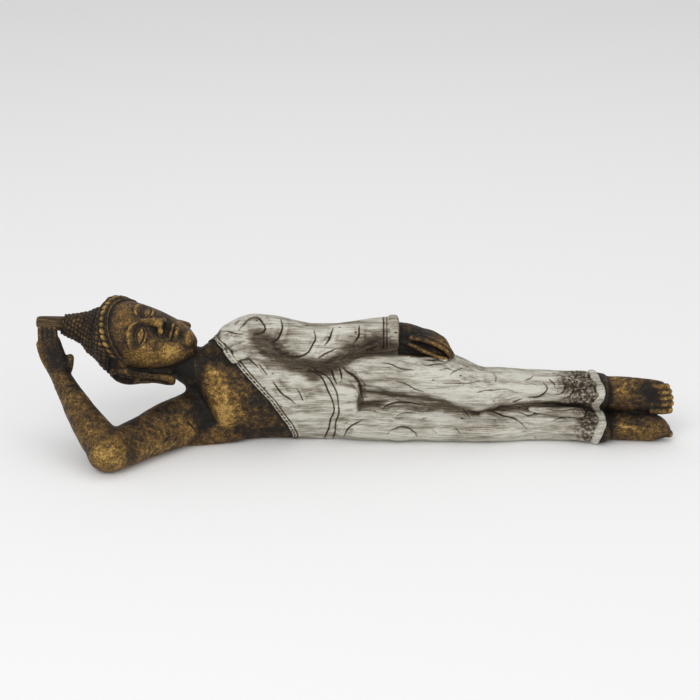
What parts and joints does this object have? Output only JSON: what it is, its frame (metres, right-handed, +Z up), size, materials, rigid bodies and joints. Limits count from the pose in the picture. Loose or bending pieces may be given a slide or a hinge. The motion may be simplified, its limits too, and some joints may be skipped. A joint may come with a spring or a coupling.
{
  "type": "reclining buddha statue",
  "caption": "Cast reclining buddha lying on its right side, head propped on one raised hand, gilt skin and whitened robe; stands on its flat underside.",
  "frame": {"origin": "centre of the bounding box at its bottom, in the plane the figure rests on", "axes": "+X from the head to the feet, -Y the side the chest faces, +Z up"},
  "size_m": [0.4512, 0.1097, 0.1049],
  "materials": {
    "antique_finish": "cast resin painted dark brown with rubbed gold on the skin and a worn whitewash on the robe"
  },
  "bodies": {
    "root": {"reclining_figure": "antique_finish"}
  },
  "joints": []
}
